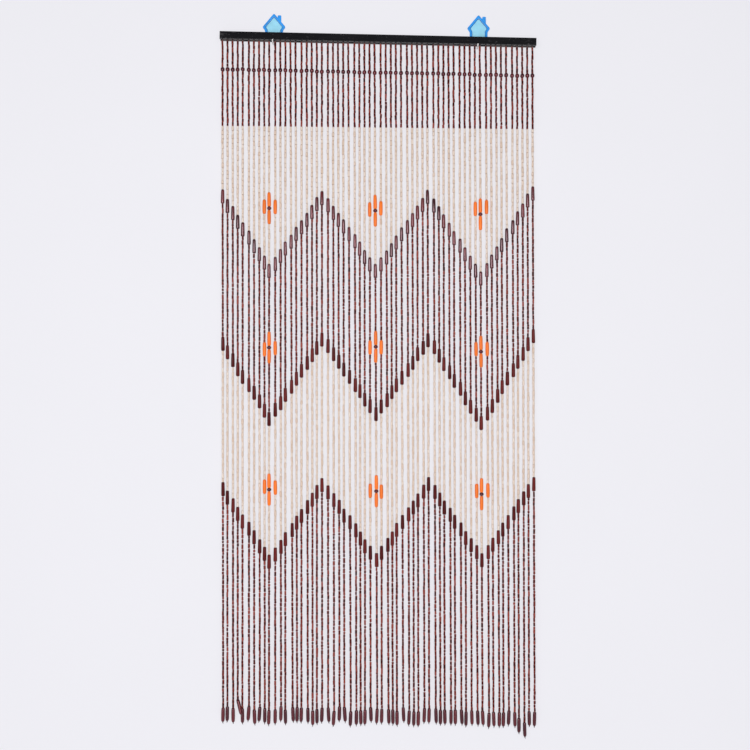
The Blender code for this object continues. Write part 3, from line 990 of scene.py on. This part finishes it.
class CURTAIN_OT_string_end_beads(Operator):
    """Threads the last long bead of each strand, each hanging a little askew"""

    bl_idname = "curtain.string_end_beads"
    bl_label = "String End Beads"

    def execute(self, context):
        sizes, plan, rng = prepared(context, 4)
        strands = np.arange(STRANDS)
        radius = LONG_RADIUS * (1 + rng.uniform(-0.06, 0.0, STRANDS))
        beads = lay_beads(plan, rng, strands, plan.ends, LONG_LENGTH, radius)
        turned_ends(beads, plan, rng, strands, END_TILT)
        finish = finish_once("bead_darkest_lacquer", dark_lacquer_finish)
        turned_beads("end_beads", beads, END_PROFILE, sizes.turned_sides, finish)

        knots = beads.copy()
        axis = np.concatenate((beads["lean"], -np.ones((STRANDS, 1))), axis=1)
        knots["top"] = beads["top"] + (LONG_LENGTH - KNOT_SEAT) * axis
        knots["length"] = 2 * sizes.knot_radius
        knots["radius"] = sizes.knot_radius
        line = finish_once("line_soiled", knot_finish)
        turned_beads("end_knots", knots, KNOT_PROFILE, KNOT_SIDES, line)
        tails = knots.copy()
        tails["top"] = knots["top"] + knots["length"][:, None] * TAIL_SEAT * axis
        tails["length"] = TAIL_LENGTH - 2 * sizes.knot_radius
        tails["radius"] = sizes.line_radius
        tails["lean"] += rng.uniform(-TAIL_SPLAY, TAIL_SPLAY, (STRANDS, 2))
        turned_beads("end_tails", tails, TAIL_PROFILE, LINE_SIDES, line)
        return {"FINISHED"}


class CURTAIN_OT_string_motifs(Operator):
    """Threads the nine orange motifs and their dark cores"""

    bl_idname = "curtain.string_motifs"
    bl_label = "String Orange Motifs"

    def execute(self, context):
        sizes, plan, rng = prepared(context, 5)
        paint = finish_once("bead_orange_paint", orange_finish)
        lacquer = finish_once("bead_darkest_lacquer", dark_lacquer_finish)
        # kind, piece, profile, radius, finish, slot
        kinds = (
            ("upper", "motif_upper_beads", SPINDLE_PROFILE, ORANGE_RADIUS, paint,
             "bead_orange"),
            ("lower", "motif_lower_beads", ORANGE_TUBE_PROFILE, ORANGE_RADIUS, paint,
             "bead_orange"),
            ("side", "motif_side_beads", ORANGE_TUBE_PROFILE, SIDE_RADIUS, paint,
             "bead_orange"),
            ("core", "motif_cores", ROUND_PROFILE, CORE_RADIUS, lacquer, "bead_dark"),
        )
        for kind, name, profile, radius, finish, slot in kinds:
            found = [row for row in motif_beads() if row[3] == kind]
            strands, starts = (np.array([row[k] for row in found]) for k in (0, 1))
            beads = lay_beads(
                plan, rng, strands, starts, found[0][2], radius, wander=0.0002, tilt=0.012)
            turned_beads(name, beads, profile, sizes.turned_sides + 2, finish)
        return {"FINISHED"}


def swept_lines(name, paths, radius, sides, finish):
    """Round lines along many paths of equal point counts. A ring stands square to its path's own
    direction: one radius runs level across it, the other at right angles to both."""
    ahead = np.gradient(paths, axis=1)
    ahead /= np.linalg.norm(ahead, axis=2, keepdims=True)
    helper = np.where(np.abs(ahead[..., 2:]) > 0.9, (0.0, 1.0, 0.0), (0.0, 0.0, 1.0))
    across = np.cross(ahead, helper)
    across /= np.linalg.norm(across, axis=2, keepdims=True)
    up = np.cross(across, ahead)
    angle = np.arange(sides) * 2 * math.pi / sides
    ring = (
        across[:, :, None, :] * np.cos(angle)[:, None]
        + up[:, :, None, :] * np.sin(angle)[:, None]
    )
    points = paths[:, :, None, :] + radius * ring
    faces = closed_faces(*paths.shape[:2], sides)
    return new_piece(name, points, faces, finish, LINE_SHARP)


class CURTAIN_OT_thread_line(Operator):
    """Runs the nylon line down each strand and from hole to hole under the rail"""

    bl_idname = "curtain.thread_line"
    bl_label = "Thread Line"

    def execute(self, context):
        sizes, plan, rng = prepared(context, 6)
        finish = finish_once("line_nylon", line_finish)
        shaded_and_soiled = finish_once("line_soiled", knot_finish)
        strands = np.arange(STRANDS)
        share = np.linspace(0.0, 1.0, LINE_STEPS)
        drops = share[None, :] * plan.ends[:, None] + LINE_BELOW_TOP * share
        flat = strand_point(plan, np.repeat(strands, LINE_STEPS), drops.ravel())
        line = swept_lines(
            "line_strands", flat.reshape(STRANDS, LINE_STEPS, 3), sizes.line_radius,
            LINE_SIDES, finish)
        groups = [f"strands_{group + 1:02d}" for group in range(GROUPS)]
        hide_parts(*groups)

        first = np.array([s for s in strands if (s + 1) % STRANDS_PER_GROUP])
        t = np.linspace(0.0, 1.0, RUN_STEPS)[None, :]
        left, right = plan.tops[first][:, None], plan.tops[first + 1][:, None]
        bow = RUN_BOW * rng.uniform(0.8, 1.1, len(first))[:, None]
        x = left + (right - left) * t
        y = STRAND_Y - bow * np.sin(math.pi * t) ** 0.5
        runs = np.stack((x, y, underside(x) + RUN_RISE), axis=2)
        # The runs and the root knots take the darkened line finish: painted shade under the rail,
        # and dirt.
        swept_lines("line_runs_under_rail", runs, RUN_RADIUS, LINE_SIDES, shaded_and_soiled)

        knots = lay_beads(
            plan, rng, strands, np.zeros(STRANDS), 2 * sizes.knot_radius, sizes.knot_radius)
        knots["top"][:, 2] += ROOT_KNOT_RISE
        turned_beads("root_knots", knots, KNOT_PROFILE, KNOT_SIDES, shaded_and_soiled)
        return {"FINISHED"}


class CURTAIN_OT_paint_rail(Operator):
    """Paints the rail, which keeps its solid's own form"""

    bl_idname = "curtain.paint_rail"
    bl_label = "Paint Rail"

    def execute(self, context):
        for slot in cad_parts["rail"].material_slots:
            slot.material = finish_once("rail_black_paint", rail_finish)
        return {"FINISHED"}


def house_outline(base):
    """Gable, eaves and walls down to base as an open path of (across, drop from the tip), from
    the left foot over the tip to the right foot."""
    return np.array([
        (-WALL_HALF_WIDTH, base),
        (-WALL_HALF_WIDTH, WALL_BELOW_TIP),
        (-EAVES_HALF_WIDTH, EAVES_BELOW_TIP),
        (0.0, 0.0),
        (EAVES_HALF_WIDTH, EAVES_BELOW_TIP),
        (WALL_HALF_WIDTH, WALL_BELOW_TIP),
        (WALL_HALF_WIDTH, base),
    ])


def moved_in(path, width, closed):
    """The path with every side moved by width to its right-hand side, as (across, drop), and the
    corners mitred."""
    ahead = np.roll(path, -1, axis=0) - path
    if not closed:
        ahead[-1] = ahead[-2]
    ahead /= np.linalg.norm(ahead, axis=1, keepdims=True)
    side = np.stack((-ahead[:, 1], ahead[:, 0]), axis=1)
    behind = np.roll(side, 1, axis=0)
    if not closed:
        behind[0] = side[0]
    reach = 1 + (side * behind).sum(axis=1, keepdims=True)
    return path + width * (side + behind) / reach


def rounded(path, radius, closed):
    """The path with a parabolic arc in place of each corner, as far as its sides allow: with t
    from 0 to 1, (1-t)^2 start + 2t(1-t) corner + t^2 end."""
    before = np.roll(path, 1, axis=0) - path
    after = np.roll(path, -1, axis=0) - path
    reach_before = np.linalg.norm(before, axis=1, keepdims=True)
    reach_after = np.linalg.norm(after, axis=1, keepdims=True)
    cut = np.minimum(radius, CORNER_SHARE * np.minimum(reach_before, reach_after))
    start = (path + before / reach_before * cut)[:, None, :]
    end = (path + after / reach_after * cut)[:, None, :]
    t = np.linspace(0.0, 1.0, ARC_STEPS)[None, :, None]
    arcs = (1 - t) ** 2 * start + 2 * t * (1 - t) * path[:, None, :] + t ** 2 * end
    if closed:
        return arcs.reshape(-1, 2)
    return np.concatenate((path[:1], arcs[1:-1].reshape(-1, 2), path[-1:]))


def pillow(name, outline, rings, place, finish, radius=CORNER_RADIUS):
    """A closed form with two flat ends: the outline moved in by each ring's inset, its corners
    rounded, at each ring's height. place(across, drop, height) gives the points in space."""
    loops = [rounded(moved_in(outline, inset, True), radius, True) for inset, _ in rings]
    points = [
        np.stack(place(loop[:, 0], loop[:, 1], np.full(len(loop), height)), axis=1)
        for loop, (_, height) in zip(loops, rings)
    ]
    faces = closed_faces(1, len(rings), len(loops[0]))
    return new_piece(name, np.concatenate(points), faces, finish, MOULDED_SHARP)


def on_wall(x, tip):
    """Places (across, drop from the tip, height off the wall)."""
    return lambda across, drop, height: (x + across, -height, tip - drop)


def frame_band(name, x, tip, finish):
    """The raised frame: an arched section, half a sine wave lifted off the plate, carried along
    the gable's outline with its corners mitred and then rounded."""
    path = house_outline(GABLE_HEIGHT)
    angle = np.linspace(0.0, math.pi, BAND_STEPS)
    inset = np.concatenate(((0.0,), FRAME_WIDTH / 2 * (1 - np.cos(angle)), (FRAME_WIDTH,)))
    arch = BAND_EDGE + (FRAME_THICKNESS - BAND_EDGE) * np.sin(angle) ** BAND_ROUNDNESS
    height = PLATE_THICKNESS + np.concatenate(((0.0,), arch, (0.0,)))
    place = on_wall(x, tip)
    loops = [rounded(moved_in(path, width, False), CORNER_RADIUS, False) for width in inset]
    points = np.stack([
        np.stack(place(loop[:, 0], loop[:, 1], np.full(len(loop), h)), axis=1)
        for loop, h in zip(loops, height)
    ], axis=1)
    steps, sides = points.shape[:2]
    edge = np.broadcast_to(inset > EDGE_SHARE * FRAME_WIDTH, (steps, sides))
    return new_piece(
        name, points, closed_faces(1, steps, sides), finish, BAND_SHARP,
        [("edge", edge)])


def prong_outline(seat):
    """Side view of the prong as (y, z): tab, arm with a rounded belly and the lip before the
    rail. The belly is part of a sine wave under the arm."""
    back = -PLATE_THICKNESS - PRONG_CLEARANCE
    tab = RAIL_BACK + PRONG_CLEARANCE
    rail_front = RAIL_BACK - RAIL_DEPTH - PRONG_CLEARANCE
    front = rail_front - PRONG_LIP
    arm_top = seat - PRONG_CLEARANCE
    t = np.linspace(0.0, 1.0, PRONG_STEPS + 1)[1:]
    belly_y = front + (back - front) * t
    belly = PRONG_BELLY * np.sin(BELLY_START + (BELLY_END - BELLY_START) * t)
    belly_z = arm_top - PRONG_ARM / 2 - belly
    corners = [
        (back, seat + PRONG_TAB_HEIGHT),
        (tab, seat + PRONG_TAB_HEIGHT),
        (tab, arm_top),
        (rail_front, arm_top),
        (rail_front, seat + PRONG_LIP_RISE),
        (front, seat + PRONG_LIP_RISE),
        (front, arm_top - PRONG_ARM / 2),
    ]
    return np.concatenate((corners, np.stack((belly_y, belly_z), axis=1)))


class CURTAIN_OT_mould_hooks(Operator):
    """Moulds the plates, raised frames and prongs of the two wall hooks"""

    bl_idname = "curtain.mould_hooks"
    bl_label = "Mould Hooks"

    def execute(self, context):
        colours = context.scene.curtain_colours
        blue = moulded_finish(
            "hook_frame_moulding", colours.hook_frame, 0.86, 0.24, colours.hook_edge)
        pale = moulded_finish("hook_plate_moulding", colours.hook_plate, 0.90, 0.28)
        white = moulded_finish("hook_prong_moulding", colours.hook_prong, 0.94, 0.22)
        slope = EAVES_BELOW_TIP / EAVES_HALF_WIDTH
        chimney = np.array([
            (CHIMNEY_LEFT, slope * CHIMNEY_LEFT + CHIMNEY_FOOT),
            (CHIMNEY_LEFT, CHIMNEY_BELOW_TIP),
            (CHIMNEY_RIGHT, CHIMNEY_BELOW_TIP),
            (CHIMNEY_RIGHT, slope * CHIMNEY_RIGHT + CHIMNEY_FOOT),
        ])
        half = PRONG_WIDTH / 2
        for side, x, tip, prong in HOOKS:
            place = on_wall(x, tip)
            plate = pillow(
                f"hook_{side}_face", house_outline(GABLE_HEIGHT), PLATE_RINGS, place, pale)
            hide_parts(f"hook_{side}_plate")
            band = frame_band(f"hook_{side}_band", x, tip, blue)
            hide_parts(f"hook_{side}_frame")
            pillow(
                f"hook_{side}_chimney", chimney, CHIMNEY_RINGS, place, blue,
                CHIMNEY_CORNER)
            rings = (
                (PRONG_EDGE, prong - half), (0.0, prong - half + PRONG_EDGE),
                (0.0, prong + half - PRONG_EDGE), (PRONG_EDGE, prong + half))
            arm = pillow(
                f"hook_{side}_arm", prong_outline(underside(prong + half)), rings,
                lambda y, z, width: (width, y, z), white, PRONG_CORNER)
            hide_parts(f"hook_{side}_prong")
        return {"FINISHED"}


def stage_sheet(name, corners, finish):
    """A flat staged sheet from four corners."""
    mesh = bpy.data.meshes.new(name)
    mesh.from_pydata(corners, [], [(0, 1, 2, 3)])
    mesh.materials.append(finish)
    sheet = bpy.data.objects.new(name, mesh)
    bpy.context.scene.collection.objects.link(sheet)


def studio_finish(name, colour, own, one_sided):
    """Matt studio paper with a faint mottle. The share named own of its brightness comes through
    it from behind, so shadows on it are faint. One-sided paper is clear from its back."""
    made = Finish(name, Roughness=0.9, Specular_IOR_Level=0.1, Emission_Strength=own)
    paper = made.mix(made.grain((3.0, 3.0, 3.0)), colour, shaded(colour, 0.985))
    made.link(made.mix(own, paper, BLACK), "Base Color")
    made.link(paper, "Emission Color")
    if one_sided:
        clear = made.add("ShaderNodeBsdfTransparent")
        back = made.add("ShaderNodeNewGeometry").outputs["Backfacing"]
        both = made.add("ShaderNodeMixShader", {
            0: back, 1: made.shader.outputs["BSDF"], 2: clear.outputs["BSDF"]})
        output = made.tree.nodes["Material Output"]
        made.tree.links.new(both.outputs["Shader"], output.inputs["Surface"])
    return made.material


def area_light(name, place, target, width, height, power):
    """A rectangular light that faces the target."""
    data = bpy.data.lights.new(name, "AREA")
    data.shape = "RECTANGLE"
    data.size = width
    data.size_y = height
    data.energy = power
    lamp = bpy.data.objects.new(name, data)
    lamp.location = place
    away = [a - b for a, b in zip(place, target)]
    flat = math.hypot(away[0], away[1])
    lamp.rotation_euler = (math.atan2(flat, away[2]), 0.0, math.atan2(away[0], -away[1]))
    lamp.visible_camera = False
    bpy.context.scene.collection.objects.link(lamp)


class CURTAIN_OT_set_studio(Operator):
    """Sets up the camera, the soft lights, the pale backdrop and the floor"""

    bl_idname = "curtain.set_studio"
    bl_label = "Set Studio"

    def execute(self, context):
        scene = context.scene
        studio = scene.curtain_studio
        colour = scene.curtain_colours.studio
        scene.view_settings.view_transform = "Standard"

        data = bpy.data.cameras.new("camera")
        data.lens = studio.lens
        data.sensor_width = SENSOR_WIDTH
        camera = bpy.data.objects.new("camera", data)
        camera.location = (
            studio.camera_across, STRAND_Y - studio.camera_distance, studio.eye_height)
        camera.rotation_euler = (math.pi / 2 + studio.pitch, studio.roll, -studio.yaw)
        scene.collection.objects.link(camera)
        scene.camera = camera

        floor, across = -studio.floor_drop, STAGE_HALF_WIDTH
        stage_sheet(
            "backdrop",
            [(-across, 0.0, floor), (across, 0.0, floor),
             (across, 0.0, BACKDROP_TOP), (-across, 0.0, BACKDROP_TOP)],
            studio_finish("backdrop_paper", colour, studio.own_light, True))
        stage_sheet(
            "floor",
            [(-across, -STAGE_DEPTH, floor), (across, -STAGE_DEPTH, floor),
             (across, 0.0, floor), (-across, 0.0, floor)],
            studio_finish("floor_paper", colour, studio.floor_light, False))
        for name, place, width, height, power in LIGHTS:
            area_light(name, place, LIGHTS_FACE, width, height, getattr(studio, power))

        world = bpy.data.worlds.new("surroundings")
        world.use_nodes = True
        tree = world.node_tree
        background = tree.nodes["Background"]
        background.inputs["Color"].default_value = (*colour, 1.0)
        seen = tree.nodes.new("ShaderNodeLightPath").outputs["Is Camera Ray"]
        strength = tree.nodes.new("ShaderNodeMapRange")
        strength.inputs["To Min"].default_value = studio.surroundings
        strength.inputs["To Max"].default_value = 1.0
        tree.links.new(seen, strength.inputs["Value"])
        tree.links.new(strength.outputs["Result"], background.inputs["Strength"])
        scene.world = world
        return {"FINISHED"}


class CURTAIN_PT_looks(Panel):
    """Lists the steps that dress the curtain"""

    bl_idname = "CURTAIN_PT_looks"
    bl_label = "Bead Curtain"
    bl_space_type = "VIEW_3D"
    bl_region_type = "UI"
    bl_category = "Bead Curtain"

    def draw(self, context):
        layout = self.layout
        for step in STEPS:
            layout.operator(step.bl_idname)
        for group in ("curtain_sizes", "curtain_colours", "curtain_studio"):
            values = getattr(context.scene, group)
            box = layout.box()
            for name in values.bl_rna.properties.keys():
                if name not in ("rna_type", "name"):
                    box.prop(values, name)


STEPS = (
    CURTAIN_OT_set_studio,
    CURTAIN_OT_paint_rail,
    CURTAIN_OT_mould_hooks,
    CURTAIN_OT_thread_line,
    CURTAIN_OT_string_round_beads,
    CURTAIN_OT_string_brown_tubes,
    CURTAIN_OT_string_cream_tubes,
    CURTAIN_OT_string_zigzags,
    CURTAIN_OT_string_motifs,
    CURTAIN_OT_string_end_beads,
)
CLASSES = (CurtainSizes, CurtainColours, StudioSettings, *STEPS, CURTAIN_PT_looks)


def register():
    for entry in CLASSES:
        bpy.utils.register_class(entry)
    bpy.types.Scene.curtain_sizes = PointerProperty(type=CurtainSizes)
    bpy.types.Scene.curtain_colours = PointerProperty(type=CurtainColours)
    bpy.types.Scene.curtain_studio = PointerProperty(type=StudioSettings)


def unregister():
    del bpy.types.Scene.curtain_studio
    del bpy.types.Scene.curtain_colours
    del bpy.types.Scene.curtain_sizes
    for entry in reversed(CLASSES):
        bpy.utils.unregister_class(entry)


def main():
    register()
    bpy.ops.curtain.set_studio()
    bpy.ops.curtain.paint_rail()
    bpy.ops.curtain.mould_hooks()
    bpy.ops.curtain.thread_line()
    bpy.ops.curtain.string_round_beads()
    bpy.ops.curtain.string_brown_tubes()
    bpy.ops.curtain.string_cream_tubes()
    bpy.ops.curtain.string_zigzags()
    bpy.ops.curtain.string_motifs()
    bpy.ops.curtain.string_end_beads()


if __name__ == "__main__":
    main()
